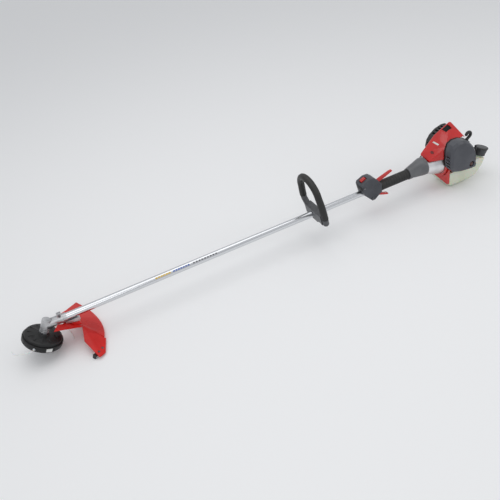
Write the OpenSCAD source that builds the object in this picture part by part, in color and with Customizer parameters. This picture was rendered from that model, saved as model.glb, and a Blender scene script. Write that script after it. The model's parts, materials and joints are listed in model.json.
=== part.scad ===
// Petrol string trimmer: straight tube, line head, shield, loop handle,
// throttle grip and two-stroke engine. Each sub-part is modelled where it sits
// on the machine. The tube runs along X, from the line head to the engine, and
// the machine lies on its fuel tank and on the rim of its shield.

/* [Tube and drive] */
// Outer diameter of the drive tube
tube_d = 24; // [24:1:26]
// Wall thickness of the drive tube
tube_wall = 1.5; // [1:0.25:2]
// Diameter of the drive shaft inside the tube
shaft_d = 8; // [7:1:8]
// Distance from the bevel gears' apex to the engine end of the tube
tube_end = 1500; // [1490:10:1500]
// Number of bushings that carry the drive shaft
bushing_count = 5; // [3:1:7]

/* [Line head] */
// Radius of the head's upper housing
head_r = 60; // [56:1:62]
// Radius of the head's lower cover
head_cover_r = 65; // [62:1:66]
// Travel of the bump knob
bump_travel = 6; // [4:1:6]
// Diameter of the nylon trimmer line
line_d = 2.4; // [2:0.1:2.7]

/* [Shield] */
// Radius of the shield's rim about the head's axis
shield_r = 189; // [180:1:189]
// Thickness of the shield's plastic
shield_wall = 3; // [2.5:0.5:4]

/* [Handles] */
// Distance from the apex to the loop handle's clamp
loop_x = 1007; // [900:1:1080]
// Radius of the loop handle's strands
loop_strand_r = 12.5; // [11:0.5:13]
// Height of the loop's bow above the tube
loop_top = 156; // [140:1:160]
// Radius of the rear grip
grip_r = 19.5; // [18.5:0.5:19.5]

/* [Engine] */
// Crankshaft throw, half the piston's stroke
crank_throw = 14; // [12:1:14]
// Cylinder bore radius
bore_r = 17; // [16:0.5:18]
// Number of cooling fins on the cylinder
fin_count = 6; // [4:1:6]
// Number of fan blades on the flywheel
blade_count = 14; // [8:1:18]

/* [Hidden] */
$fn = 64;
e = 0.05;                       // overshoot of a cut
fit = 0.06;                     // radial running clearance of a shaft
engine_x = 1650;                // distance from the apex to the part's origin
axis_height = 106;              // height of the tube's axis above the ground
head_tilt = 30;                 // the head's axis leans this far back from square to the tube
pinion_teeth = 14;
driven_teeth = 19;
pinion_pitch_r = 7;             // at the pinion's large end
tube_r = tube_d / 2;
tube_bore_r = tube_r - tube_wall;
shaft_r = shaft_d / 2;
tube_start = 34;
cone_angle_p = atan(sin(60) / (driven_teeth / pinion_teeth + cos(60)));
cone_angle_d = 60 - cone_angle_p;
cone_length = pinion_pitch_r / sin(cone_angle_p);
driven_pitch_r = cone_length * sin(cone_angle_d);
tooth_taper = 0.67;             // small end of a gear over its large end
loop_lean = 9;                  // the loop handle leans towards the head
cyl_x = 1620;                   // cylinder's axis
handle_y = -22;                 // starter rope's line, also the pulley's radius
cap_x = 1732;
cap_y = -38;
cap_z = -18;
cap_tilt = 17;
trigger_pivot = [1256, -20];
lockout_pivot = [1270, 24];

// ---- frames and small shared shapes ----

// The machine's own frame: origin under the fuel tank, on the ground.
module on_ground() translate([-engine_x, 0, axis_height]) children();

// The head's frame: its Z is the head's axis and its X points rearwards.
module on_head() on_ground() rotate([0, head_tilt, 0]) children();

// The loop handle's frame: Z along the leaning loop, origin on the tube.
module on_loop() on_ground() translate([loop_x, 0, 0]) rotate([0, -loop_lean, 0]) children();

// The fuel cap's frame, Z along the filler neck.
module on_cap() on_ground() translate([cap_x, cap_y, cap_z]) rotate([0, cap_tilt, 0]) children();

// A cylinder along X from x0 to x1.
module rod_x(x0, x1, r) translate([x0, 0, 0]) rotate([0, 90, 0]) cylinder(h = x1 - x0, r = r);

// A cylinder along Y from y0 to y1.
module rod_y(y0, y1, r) translate([0, y1, 0]) rotate([90, 0, 0]) cylinder(h = y1 - y0, r = r);

// A side profile, drawn in X and Z, given its width from y0 to y1.
module side_plate(points, y0, y1)
    translate([0, y1, 0]) rotate([90, 0, 0]) linear_extrude(y1 - y0) polygon(points);

// A straight strand with round ends between two points of the plane x = 0.
module strand(a, b, r) {
    len = norm(b - a);
    translate([0, a.x, a.y]) rotate([-atan2(b.x - a.x, b.y - a.y), 0, 0]) cylinder(h = len, r = r);
    translate([0, b.x, b.y]) sphere(r = r + 0.1, $fn = 48);
}

// A round-headed screw along -Z with its head's underside at the origin.
module screw(len, r, head_r) {
    translate([0, 0, -len]) cylinder(h = len, r = r, $fn = 24);
    difference() {
        cylinder(h = head_r * 0.7, r = head_r, $fn = 32);
        translate([0, 0, head_r * 0.3]) cylinder(h = head_r, r = head_r * 0.5, $fn = 6);
    }
}

// A tube of radius r swept along a list of points.
function unit(v) = v / norm(v);
function tangent(p, i) = unit(p[min(i + 1, len(p) - 1)] - p[max(i - 1, 0)]);
function side_of(t) = unit(cross(t, abs(t.z) < 0.9 ? [0, 0, 1] : [0, 1, 0]));

// One side direction for each point of a path, carried along so that a tube never twists.
function carried_sides(p, i = 0, last = [1, 0, 0]) = i == len(p) ? [] :
    let (t = tangent(p, i), u = i == 0 ? side_of(t) : unit(last - (last * t) * t))
    concat([u], carried_sides(p, i + 1, u));
module swept_tube(path, r, sides = 8) {
    n = len(path);
    side = carried_sides(path);
    rings = [for (i = [0:n - 1])
        let (t = tangent(path, i), u = side[i], w = cross(t, u))
        for (k = [0:sides - 1])
            path[i] + r * (cos(360 * k / sides) * u + sin(360 * k / sides) * w)];
    walls = [for (i = [0:n - 2]) for (k = [0:sides - 1])
        let (a = i * sides + k, b = i * sides + (k + 1) % sides)
        [a, a + sides, b + sides, b]];
    polyhedron(rings, concat(walls,
        [[for (k = [0:sides - 1]) k]],
        [[for (k = [sides - 1:-1:0]) (n - 1) * sides + k]]));
}

// A coil spring along Z.
module coil(r, wire_r, height, turns, steps = 14)
    swept_tube([for (i = [0:turns * steps])
        [r * cos(360 * i / steps), r * sin(360 * i / steps), height * i / (turns * steps)]],
        wire_r, 6);

// One bevel gear: large end at z = 0, tapering along +Z, with trapezoidal teeth.
module bevel_teeth(teeth, pitch_r, depth, half) {
    root_r = pitch_r - 1.1;
    tip_r = pitch_r + 0.6;
    linear_extrude(depth, scale = tooth_taper) union() {
        circle(r = root_r);
        for (k = [0:teeth - 1]) rotate(360 * (k + half) / teeth) {
            w_root = 2 * PI * pitch_r / teeth * 0.26;
            w_tip = 2 * PI * pitch_r / teeth * 0.12;
            polygon([[root_r - 1, -w_root], [tip_r, -w_tip], [tip_r, w_tip], [root_r - 1, w_root]]);
        }
    }
}

// ---- tube and gear head ----

module drive_tube() color("gainsboro") on_ground() difference() {
    rod_x(tube_start, tube_end, tube_r);
    rod_x(tube_start - e, tube_end + e, tube_bore_r);
}

bushing_pitch = (tube_end - 300) / (bushing_count - 1);
module tube_bushings() color("dimgray") on_ground()
    for (i = [0:bushing_count - 1]) translate([180 + i * bushing_pitch, 0, 0]) difference() {
        rod_x(-15, 15, tube_bore_r);
        rod_x(-15 - e, 15 + e, shaft_r + fit);
    }

module gear_housing() color("silver") difference() {
    union() {
        on_head() {
            translate([0, 0, -24]) cylinder(h = 20, r = 13.4);
            translate([0, 0, -6]) cylinder(h = 26, r = 15.2);
        }
        on_ground() {
            rod_x(4, 58, 15.5);
            rod_x(52, 58, 17);
            translate([43, -7, 10]) cube([14, 14, 14]);
            translate([50, 0, 24]) cylinder(h = 1.2, r = 5);
        }
    }
    on_head() {
        translate([0, 0, 7]) cylinder(h = 13 + e, r = 12.6);
        translate([0, 0, 20]) cylinder(h = 8, r = 14.9);
        translate([0, 0, -13]) cylinder(h = 21, r = 6.5);
        translate([0, 0, -20]) cylinder(h = 8, r = 10);
        translate([0, 0, -24 - e]) cylinder(h = 5, r = 7);
    }
    on_ground() {
        rod_x(5, 26, 9);
        rod_x(25, tube_start, 9.5);
        rod_x(tube_start, 58 + e, tube_r);
        translate([38, -1, 11]) cube([25, 2, 16]);
        translate([50, 0, 18.7]) rod_y(-8, 8, 2.6);
    }
}

module gear_cap() color("gray") on_head() difference() {
    union() {
        translate([0, 0, 20]) cylinder(h = 2.2, r = 14.6);
        translate([0, 0, 22.2]) cylinder(h = 1.3, r = 7.5, $fn = 6);
        translate([0, 0, 15]) cylinder(h = 5, r = 12.5);
    }
    translate([0, 0, 15 - e]) cylinder(h = 5, r = 10);
}

// A ball bearing drawn as its outer and inner rings with the cage between them.
module bearing(outer_r, inner_r, width) difference() {
    cylinder(h = width, r = outer_r);
    translate([0, 0, -e]) cylinder(h = width + 2 * e, r = inner_r);
    for (z = [-e, width - 0.6]) translate([0, 0, z]) difference() {
        cylinder(h = 0.6 + e, r = outer_r - 1.6);
        cylinder(h = 2, r = inner_r + 1.6);
    }
}

module bearings() color("lightsteelblue") {
    on_head() {
        translate([0, 0, 15.2]) bearing(10, 4 + fit, 4.6);
        translate([0, 0, -20]) bearing(10, 5 + fit, 7);
    }
    on_ground() {
        translate([26.5, 0, 0]) rotate([0, 90, 0]) bearing(9.5, shaft_r + fit, 7);
        translate([1503, 0, 0]) rotate([0, 90, 0]) bearing(14, 6 + fit, 8);
        translate([1592, 0, 0]) rotate([0, 90, 0]) bearing(15, 6 + fit, 8);
        translate([1642, 0, 0]) rotate([0, 90, 0]) bearing(15, 6 + fit, 8);
    }
}

pinion_shaft_r = 3;             // the shaft's turned-down end in the pinion
module drive_shaft() color("darkgray") on_ground() {
    rod_x(10.4, 26.2, pinion_shaft_r);
    rod_x(26.2, 1528, shaft_r);
}

module pinion() color("gray") on_ground() difference() {
    union() {
        translate([cone_length * cos(cone_angle_p), 0, 0]) rotate([0, -90, 0])
            bevel_teeth(pinion_teeth, pinion_pitch_r,
                        cone_length * cos(cone_angle_p) * (1 - tooth_taper), 0);
        rod_x(14.8, 26, 5.5);
    }
    rod_x(9, 27, pinion_shaft_r);
}

module driven_gear() color("gray") on_head() difference() {
    union() {
        translate([0, 0, cone_length * cos(cone_angle_d)]) mirror([0, 0, 1])
            bevel_teeth(driven_teeth, driven_pitch_r,
                        cone_length * cos(cone_angle_d) * (1 - tooth_taper), 0.5);
        translate([0, 0, 10]) cylinder(h = 4.8, r = 6);
    }
    translate([0, 0, 5]) cylinder(h = 20, r = 4.5);
}

module output_shaft() color("darkgray") on_head() {
    translate([0, 0, -27.9]) cylinder(h = 33, r = 5);
    translate([0, 0, 5]) cylinder(h = 9.8, r = 4.5);
    translate([0, 0, 14.8]) cylinder(h = 5, r = 4);
    translate([0, 0, -27.9]) cylinder(h = 2.9, r = 14.6);
    translate([0, 0, -62]) cylinder(h = 34.2, r = 4);
}

// ---- line head ----

exit_angle = 238;               // direction of the first line's exit

module head_housing() color([0.11, 0.11, 0.12]) on_head() {
    rotate_extrude() polygon([[4, -28], [17, -28], [19, -31], [40, -32.5], [head_r - 5, -34],
        [head_r - 1, -36.5], [head_r, -40], [head_r, -51], [head_r - 3, -51],
        [head_r - 3, -40], [head_r - 6, -37], [8, -37], [8, -61], [4, -61]]);
    for (k = [0:11]) rotate(30 * k + 15) translate([22, -1, -33.4]) cube([30, 2, 1.6]);
}

module head_cover() color([0.13, 0.13, 0.14]) on_head() {
    difference() {
        rotate_extrude() polygon([[head_r + 0.3, -45], [head_cover_r - 2, -45],
            [head_cover_r, -47], [head_cover_r, -60], [head_cover_r - 3, -64], [50, -66],
            [31, -66], [31, -63.5], [50, -63.5], [head_cover_r - 5, -62], [head_r + 0.3, -59]]);
        for (k = [0:1]) rotate(exit_angle + 180 * k) translate([50, 0, -54]) rotate([0, 90, 0])
            cylinder(h = 20, r = 4);
        for (k = [0:7]) rotate(45 * k + 22) translate([head_cover_r + 4, 0, -70]) cylinder(h = 30, r = 5);
    }
    for (k = [0:1]) rotate(exit_angle + 180 * k) translate([59, 0, -54]) rotate([0, 90, 0])
        difference() {
            union() {
                cylinder(h = 6.5, r = 4);
                translate([0, 0, 6.2]) cylinder(h = 1.3, r = 5);
            }
            translate([0, 0, -e]) cylinder(h = 9, r = line_d / 2 + 0.6);
        }
}

// Routes of the two lines in the head's frame, from inside their eyelets to the cut ends.
line_route_a = [[-30, -49, -54], [-36, -57, -54], [-43, -65, -54.4], [-53, -71, -55], [-66, -75, -55.6],
    [-80, -78, -56], [-91, -78, -56.4], [-98, -74, -56.8], [-101, -67, -57], [-101, -61, -56.6]];
line_route_b = [[30, 49, -54], [37, 58, -54], [48, 66, -54.4], [62, 71, -55], [77, 70, -55.6],
    [90, 63, -56], [98, 50, -56.4], [102, 34, -56.8], [104, 18, -57], [104, 2, -56.6]];
module trimmer_lines() color([0.86, 0.88, 0.86]) on_head() {
    swept_tube(line_route_a, line_d / 2, 8);
    swept_tube(line_route_b, line_d / 2, 8);
}

module spool() color([0.16, 0.16, 0.17]) on_head() difference() {
    union() {
        translate([0, 0, -61]) cylinder(h = 16, r = 20);
        translate([0, 0, -61]) cylinder(h = 2, r = 52);
        translate([0, 0, -47]) cylinder(h = 2, r = 52);
        translate([0, 0, -58.5]) cylinder(h = 11, r = 42);
    }
    translate([0, 0, -62]) cylinder(h = 20, r = 8.5);
    translate([0, 0, -57]) cylinder(h = 13, r = 16);
}

module bump_knob() color([0.1, 0.1, 0.1]) on_head() difference() {
    rotate_extrude() polygon([[8.5, -61], [24, -61], [24, -66], [28, -67], [28, -76], [25, -80],
        [16, -82], [0, -82], [0, -69], [8.5, -69]]);
    for (k = [0:5]) rotate(60 * k) translate([31, 0, -83]) cylinder(h = 15, r = 5);
}

module head_spring() color("silver") on_head() translate([0, 0, -56]) coil(12.5, 0.8, 18, 5);

// ---- shield ----

skirt_low = -13.2;              // lowest edge of the rim's skirt in the head's frame
shield_section = [[20, 13], [20, 16], [60, 14], [100, 11], [shield_r, -5 + shield_wall],
    [shield_r, skirt_low], [shield_r - shield_wall, skirt_low], [shield_r - shield_wall, -5],
    [100, 11 - shield_wall], [60, 14 - shield_wall]];
shield_outline = concat(
    [[15, -53], [110, -21], [115, -14], [178, -60]],
    [for (t = [-19:6:47]) shield_r * [cos(t), sin(t)]],
    [[129, 140], [78, 72], [44, 34], [34, 20], [34, -14]]);
flap_corners = [[115, -14, 6.5], [115, -69, -15], [139, -117, -22], [149, -138, -25],
    [168, -125, -19], [182, -66, -8]];
bracket_bolts = [[88, -8], [88, 8]];    // shield to tongue, in the head's frame
cutter_bolts = [[149, -120, -18.4], [163, -107, -13.8]];
cutter_slope = 14.6;            // the flap end's slope, and so the cutter plate's

module shield() color("red") difference() {
    union() {
        on_head() intersection() {
            rotate_extrude() polygon(shield_section);
            translate([0, 0, -60]) linear_extrude(100) polygon(shield_outline);
        }
        on_head() hull() for (p = flap_corners) translate(p) cylinder(h = 3, r = 1.5, $fn = 16);
        on_ground() side_plate([[76, -24.3], [101, -30], [104, -43], [82, -34]], -15, 15);
    }
    on_ground() rod_x(-40, 90, 18);
    on_head() for (p = bracket_bolts) translate([p.x, p.y, -10]) {
        cylinder(h = 50, r = 2.3, $fn = 24);
        translate([0, 0, 6]) cylinder(h = 7.8, r = 5);
    }
    on_head() for (p = cutter_bolts) translate([p.x, p.y, -40]) {
        cylinder(h = 40, r = 2.3, $fn = 24);
        translate([0, 0, 39.7 + p.z]) cylinder(h = 20, r = 4.4);
    }
}

// The cast tongue under the tube that the shield is bolted to.
module shield_bracket() color("silver") difference() {
    union() {
        on_ground() side_plate([[60, -13], [100, -13.5], [106, -17], [107, -23], [101, -29.7],
            [72.4, -23.2], [60, -18]], -11, 11);
        on_ground() rod_x(58.4, 70, 14.5);
    }
    on_ground() rod_x(50, 112, tube_r);
    on_ground() rod_x(40, 58.2, 17.2);
    on_head() for (p = bracket_bolts) translate([p.x, p.y, 10]) cylinder(h = 17.6, r = 2.3, $fn = 24);
}

// The blade's holder under the flap, with the blade standing down its edge.
module line_cutter() color("dimgray") difference() {
    on_head() translate([156, -113.5, -22.4]) rotate(30.6) rotate([0, -cutter_slope, 0]) {
        translate([-25, -8.4, -3]) cube([40, 15.4, 3]);
        translate([-25, -5, -19]) cube([11, 12, 18]);
        translate([-22, -8.4, -21]) cube([14, 2.4, 19]);
        translate([-20, -8.4, -12]) cube([8, 4.4, 10]);
    }
    on_head() for (p = cutter_bolts) translate([p.x, p.y, -40]) cylinder(h = 40, r = 2.3, $fn = 24);
    on_ground() translate([80, -200, -axis_height - 20]) cube([140, 200, 20.5]);
}

// ---- loop handle ----

loop_half = 60;                 // half the loop's width at its bow
loop_bow_z = loop_top - loop_half;

// The bow's centre line: up one strand, round the top and down the other.
loop_path = concat([[0, 68, 48], [0, 66.5, 64], [0, 63, 82]],
    [for (t = [0:15:180]) [0, loop_half * cos(t), loop_bow_z + loop_half * sin(t)]],
    [[0, -63, 82], [0, -66.5, 64], [0, -68, 44], [0, -68, 8]]);
module loop_grip() color([0.12, 0.12, 0.12]) on_loop() swept_tube(loop_path, loop_strand_r, 20);

module loop_frame() color([0.3, 0.31, 0.33]) on_loop() difference() {
    union() {
        strand([68, 45.6], [67, 34], loop_strand_r - 1.2);
        strand([67, 34], [46, 6], loop_strand_r - 1.2);
        strand([-68, 6.6], [-65, -14], loop_strand_r - 1);
        difference() {
            translate([-14, -60, -22]) cube([28, 108, 45]);
            for (s = [-1, 1]) translate([s * 34, -70, 34]) rotate([-90, 0, 0]) cylinder(h = 140, r = 24);
            for (s = [-1, 1]) translate([-30, s * 46, -40]) rotate([0, 90, 0]) cylinder(h = 60, r = 26);
        }
    }
    on_loop_axis() rod_x(-80, 80, tube_r + fit);
    translate([-30, -0.8, -40]) cube([60, 1.6, 36]);
    translate([0, 0, -17]) {
        rod_y(-40, 40, 2.6);
        rod_y(-40, -19.9, 5.3);
        rod_y(19.9, 40, 5.3);
    }
    translate([0, -68, 7.8]) cylinder(h = 60, r = loop_strand_r + 0.5);
    translate([0, 68, 47.6]) cylinder(h = 60, r = loop_strand_r + 4);
}
module on_loop_axis() rotate([0, loop_lean, 0]) children();

module loop_screws() color("dimgray") on_loop() translate([0, 0, -17]) {
    rod_y(-20, 20, 2.5);
    translate([0, -20, 0]) rotate([90, 0, 0]) screw(1, 2.5, 5);
    rod_y(20, 24, 4.5);
}

// ---- throttle grip ----

housing_outer = [[1197, 40], [1200, 48], [1229, 61], [1248, 58], [1260, 49], [1282, 22], [1282, -14],
    [1264, -25], [1250, -37], [1240, -36], [1206, 0]];
housing_inner = [[1202, 40], [1229, 57.6], [1246, 55], [1257, 47], [1279, 21], [1279, -12],
    [1262, -22], [1248, -33.5], [1242, -33], [1209, 1]];
switch_place = [1215, 53.3];
switch_slope = -24;

module housing_half(side) difference() {
    on_ground() intersection() {
        side_plate(housing_outer, side < 0 ? -22 : 0, side < 0 ? 0 : 22);
        translate([1240, 0, 12]) rod_x(-70, 70, 52);
    }
    on_ground() {
        side_plate(housing_inner, -19, 19);
        rod_x(1150, 1300, tube_r);
        side_plate([[1244, -46], [1250, -12], [1300, -8], [1300, -46]], -6.4, 6.4);
        side_plate([[1262, 36], [1262, 12], [1300, 18], [1300, 60]], -5.4, 5.4);
        translate([switch_place.x, 0, switch_place.y]) rotate([0, switch_slope, 0])
            translate([-14.2, -7.4, -6]) cube([28.4, 14.8, 20]);
    }
}
// Bosses that carry the levers' pins and the housing's screws.
module housing_bosses(side) on_ground() difference() {
    for (p = [[trigger_pivot.x, trigger_pivot.y, 5], [lockout_pivot.x, lockout_pivot.y, 4.5],
              [1206, 30, 4.5], [1242, -27, 4]])
        translate([p.x, 0, p.y]) rod_y(side < 0 ? -20.5 : 7.5, side < 0 ? -7.5 : 20.5, p.z);
    for (p = [[trigger_pivot.x, trigger_pivot.y], [lockout_pivot.x, lockout_pivot.y],
              [1206, 30], [1242, -27]])
        translate([p.x, 0, p.y]) rod_y(-23, 23, 2);
}
module throttle_housing(side) difference() {
    union() { housing_half(side); housing_bosses(side); }
    on_ground() {
        rod_x(1150, 1300, tube_r);
        for (p = [[1206, 30], [1242, -27], [trigger_pivot.x, trigger_pivot.y],
                  [lockout_pivot.x, lockout_pivot.y]])
            translate([p.x, 0, p.y]) rod_y(-23, 23, 2);
    }
}
module throttle_housing_left() color([0.29, 0.3, 0.32]) throttle_housing(-1);
module throttle_housing_right() color([0.29, 0.3, 0.32]) throttle_housing(1);

module trigger() color("firebrick") on_ground() difference() {
    union() {
        side_plate([[1252, -20], [1260, -16], [1280, -25], [1304, -36], [1321, -42], [1323, -45],
            [1320, -48], [1300, -42], [1276, -33], [1254, -26]], -5.6, 5.6);
        translate([trigger_pivot.x, 0, trigger_pivot.y]) rod_y(-5.6, 5.6, 6);
    }
    translate([trigger_pivot.x, 0, trigger_pivot.y]) rod_y(-7, 7, 2 + fit);
}

module lockout_lever() color("firebrick") on_ground() difference() {
    union() {
        side_plate([[1267, 28], [1284, 35], [1332, 49], [1341, 49], [1342, 45], [1312, 33],
            [1284, 23], [1271, 19]], -4.6, 4.6);
        translate([lockout_pivot.x, 0, lockout_pivot.y]) rod_y(-4.6, 4.6, 5);
    }
    translate([lockout_pivot.x, 0, lockout_pivot.y]) rod_y(-7, 7, 2 + fit);
}

module stop_switch() color("red") on_ground()
    translate([switch_place.x, 0, switch_place.y]) rotate([0, switch_slope, 0]) difference() {
        translate([-10.5, -6.8, -5]) cube([21, 13.6, 11]);
        for (s = [-1, 1]) translate([s * 11.5, -8, 9]) rotate([-90, 0, 0]) cylinder(h = 16, r = 5);
        for (k = [-2:2]) translate([k * 3 - 0.4, -8, 5.2]) cube([0.8, 16, 2]);
    }

module rear_grip() color([0.1, 0.1, 0.1]) on_ground() difference() {
    union() {
        rod_x(1282.4, 1415, grip_r - 0.7);
        for (k = [0:9]) rod_x(1296 + 11.6 * k, 1303 + 11.6 * k, grip_r);
        rod_x(1288, 1294, grip_r + 0.5);
    }
    rod_x(1280, 1420, tube_r);
    translate([0, 0, -15.5]) rod_x(1280, 1420, 2.5);
}

// The throttle cable runs inside the grip and the cone, over the clutch and
// across the engine under its hood to the carburettor.
cable_route = [[1284, 0, -15.5], [1330, 0, -15.5], [1380, 0, -15.5], [1430, 0, -15.5], [1448, 4, -15.5],
    [1460, 13, -12], [1470, 21, -5], [1480, 26, 3], [1489, 28.5, 9], [1497, 35, 13], [1506, 42, 18],
    [1520, 44, 27], [1536, 38, 40], [1548, 26, 51], [1558, 10, 60], [1568, -6, 64], [1578, -26, 64], [1586, -42, 64],
    [1590, -50, 67], [1594, -55, 72], [1599, -56, 75.5]];
cable_r = 2.4;
module throttle_cable() color([0.08, 0.08, 0.08]) on_ground() swept_tube(cable_route, cable_r, 10);

module coupling_cone() color([0.32, 0.33, 0.36]) on_ground() difference() {
    union() {
        hull() {
            translate([0, 0, 2]) rod_x(1415, 1422, 21, $fn = 48);
            translate([0, 0, 8.5]) rod_x(1478, 1490, 35, $fn = 48);
        }
        rod_x(1415, 1430, 22);
    }
    rod_x(1410, 1445, tube_r);
    rod_x(1440, 1481, 17);
    hull() {
        rod_x(1444, 1446, 18, $fn = 40);
        translate([0, 0, 8.5]) rod_x(1488, 1491, 31.5, $fn = 40);
    }
    translate([0, 0, -15.5]) rod_x(1410, 1450, 2.6);
    swept_tube([for (k = [2:9]) cable_route[k]], cable_r + 0.4, 10);
}

// ---- clutch ----

module clutch_housing() color("silver") on_ground() difference() {
    union() {
        rod_x(1446, 1492, 16.8);
        rod_x(1490.3, 1496, 24);
        translate([1494, 0, 0]) rotate([0, 90, 0]) cylinder(h = 59, r1 = 29, r2 = 46);
    }
    rod_x(1440, tube_end, tube_r);
    rod_x(1499, 1516, 11);
    rod_x(1503, 1511, 14);
    translate([1514, 0, 0]) rotate([0, 90, 0]) cylinder(h = 39.5, r1 = 31.5, r2 = 42.5);
    translate([0, 0, -15.5]) rod_x(1440, 1452, 2.6);
    swept_tube([for (k = [3:11]) cable_route[k]], cable_r + 0.4, 10);
}

module clutch_drum() color("gray") on_ground() {
    difference() {
        union() {
            rod_x(1501, 1520, 6);
            rod_x(1511.5, 1526, 10);
            rod_x(1523, 1550, 32);
        }
        rod_x(1500, 1530, shaft_r);
        rod_x(1526, 1551, 29);
        for (k = [0:3]) rotate([90 * k, 0, 0]) translate([0, 0, 19.5]) rod_x(1520, 1530, 4.5);
    }
}

// One clutch shoe: a half ring pivoted on a stud at its end.
shoe_r = 28.2;
module clutch_shoe() on_ground() difference() {
    intersection() {
        difference() {
            rod_x(1530, 1546, shoe_r);
            rod_x(1529, 1547, 13);
        }
        translate([1525, -40, 1]) cube([30, 80, 40]);
    }
    translate([0, 20, 6]) rod_x(1529, 1560, 3 + fit);
    translate([0, -18, 10]) rod_x(1529, 1547, 3.5);
}
module clutch_shoe_a() color("dimgray") clutch_shoe();
module clutch_shoe_b() color("dimgray") on_ground() rotate([180, 0, 0]) translate([engine_x, 0, -axis_height])
    clutch_shoe();

// ---- engine ----

module flywheel() color("lightgray") on_ground() difference() {
    union() {
        rod_x(1560, 1565, 50);
        rod_x(1554, 1588, 13);
        for (k = [0:blade_count - 1]) rotate([360 * k / blade_count, 0, 0])
            translate([1564, -1, 27]) cube([16, 2, 22.5]);
        for (s = [0, 180]) rotate([s, 0, 0]) translate([0, 20, 6]) rod_x(1530, 1562, 3);
        rotate([30, 0, 0]) translate([1564, -10, 40]) cube([12, 20, 8]);
    }
    rod_x(1550, 1590, 6);
}

module crankshaft() color("darkgray") on_ground() {
    rod_x(1551, 1614, 6);
    rod_x(1626, 1676, 6);
    for (x = [1606, 1626]) intersection() {
        rod_x(x, x + 8, 26);
        union() {
            translate([x, -11, 0]) cube([8, 22, 26]);
            translate([x, -30, -30]) cube([8, 60, 32]);
        }
    }
    translate([0, 0, crank_throw]) rod_x(1606, 1634, 5);
    rod_x(1676, 1684, 4.4);
}

module crankcase() color("silver") on_ground() difference() {
    union() {
        rod_x(1592, 1650, 35.5);
        translate([1595, -30, 0]) cube([50, 60, 36]);
        translate([1590, -44, -34]) cube([5, 88, 62]);
        translate([1645, -38, -36]) cube([5, 76, 72]);
        rod_x(1590, 1592, 22);
    }
    rod_x(1601, 1641, 29);
    rod_x(1585, 1655, 8.5);
    rod_x(1592, 1600, 15);
    rod_x(1642, 1650, 15);
    translate([cyl_x, 0, 20]) cylinder(h = 30, r = bore_r + 1);
}

piston_pin_z = crank_throw + 44;
cyl_top = piston_pin_z + 16;
fin_pitch = 7.6;
module engine_cylinder() color("silver") on_ground() difference() {
    union() {
        translate([cyl_x - 24, -26, 36]) cube([48, 52, 4]);
        translate([cyl_x, 0, 36]) cylinder(h = cyl_top - 36 + 12, r = 22);
        for (k = [0:fin_count - 1]) translate([cyl_x - 27, -28, 46 + fin_pitch * k]) cube([54, 56, 1.8]);
        translate([cyl_x - 12, -38, 44]) cube([24, 20, 22]);
        translate([cyl_x - 14, 18, 42]) cube([28, 26, 22]);
    }
    translate([cyl_x, 0, 30]) cylinder(h = cyl_top - 30, r = bore_r);
    translate([cyl_x, 0, cyl_top - 1]) cylinder(h = 6, r1 = bore_r - 4, r2 = 8);
    translate([cyl_x, 0, 55]) rod_y(-40, -10, 6.5);
    translate([cyl_x, 0, 53]) rod_y(10, 46, 7);
    on_plug() translate([0, 0, -12]) cylinder(h = 40, r = 5);
    on_plug() translate([0, 0, 3.9]) cylinder(h = 20, r = 9);
}
module on_plug() translate([cyl_x, 9, cyl_top + 9]) rotate([-38, 0, 0]) children();

module piston_and_rod() color("lightgray") on_ground() {
    difference() {
        translate([cyl_x, 0, piston_pin_z - 14]) cylinder(h = 28, r = bore_r - 0.05);
        translate([cyl_x, 0, piston_pin_z - 15]) cylinder(h = 24, r = bore_r - 3);
        for (z = [7, 10]) translate([cyl_x, 0, piston_pin_z + z]) difference() {
            cylinder(h = 1.2, r = bore_r + 1);
            translate([0, 0, -1]) cylinder(h = 4, r = bore_r - 0.7);
        }
    }
    translate([cyl_x, 0, piston_pin_z]) rod_y(-bore_r + 0.8, bore_r - 0.8, 4);
    difference() {
        translate([cyl_x - 4, 0, 0]) union() {
            translate([0, 0, piston_pin_z]) rod_x(0, 8, 7);
            translate([0, -4, 22]) cube([8, 8, piston_pin_z - 22]);
            translate([0, -12, 14]) cube([8, 24, 11]);
        }
        rod_x(1600, 1640, 19.6);
        translate([cyl_x, 0, piston_pin_z]) rod_y(-10, 10, 4);
    }
}

module spark_plug() color("whitesmoke") on_ground() on_plug() {
    translate([0, 0, -6]) cylinder(h = 10, r = 5);
    translate([0, 0, 4]) cylinder(h = 5, r = 8, $fn = 6);
    translate([0, 0, 9]) cylinder(h = 9, r = 4.6);
    translate([0, 0, 18]) cylinder(h = 4, r = 2.4);
}

// Ignition coil beside the flywheel, with its lead and the boot on the plug.
lead_route = [[1586, 30, 62], [1587, 32, 72], [1592, 34, 84], [1600, 34, 94], [1608, 32, 101], [1615, 29, 105]];
module ignition_coil() color([0.14, 0.14, 0.16]) on_ground() {
    translate([1577, 12, 53]) cube([15, 24, 14]);
    translate([1574, 20, 50.6]) cube([6, 20, 3]);
    swept_tube(lead_route, 2.5, 10);
    difference() {
        on_plug() translate([0, 0, 18.2]) cylinder(h = 11, r = 6);
        on_plug() translate([0, 0, 10]) cylinder(h = 12, r = 2.4);
    }
}

module carburettor() color("silver") on_ground() difference() {
    union() {
        translate([cyl_x - 15, -44, 42]) cube([30, 6, 26]);
        translate([cyl_x - 17, -70, 38]) cube([34, 26, 32]);
        translate([cyl_x - 13, -66, 34]) cube([26, 20, 40]);
        translate([cyl_x - 40, -74, -2]) cube([66, 4, 64]);
        translate([cyl_x + 8, -70, -2]) cube([24, 8, 24]);
    }
    translate([cyl_x, 0, 55]) rod_y(-80, -30, 6.5);
    translate([cyl_x - 12, -56, 73.5]) cylinder(h = 2, r = 2);
    translate([1644, 0, -2]) rod_y(-76, -71.4, 9.4);
}

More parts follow.
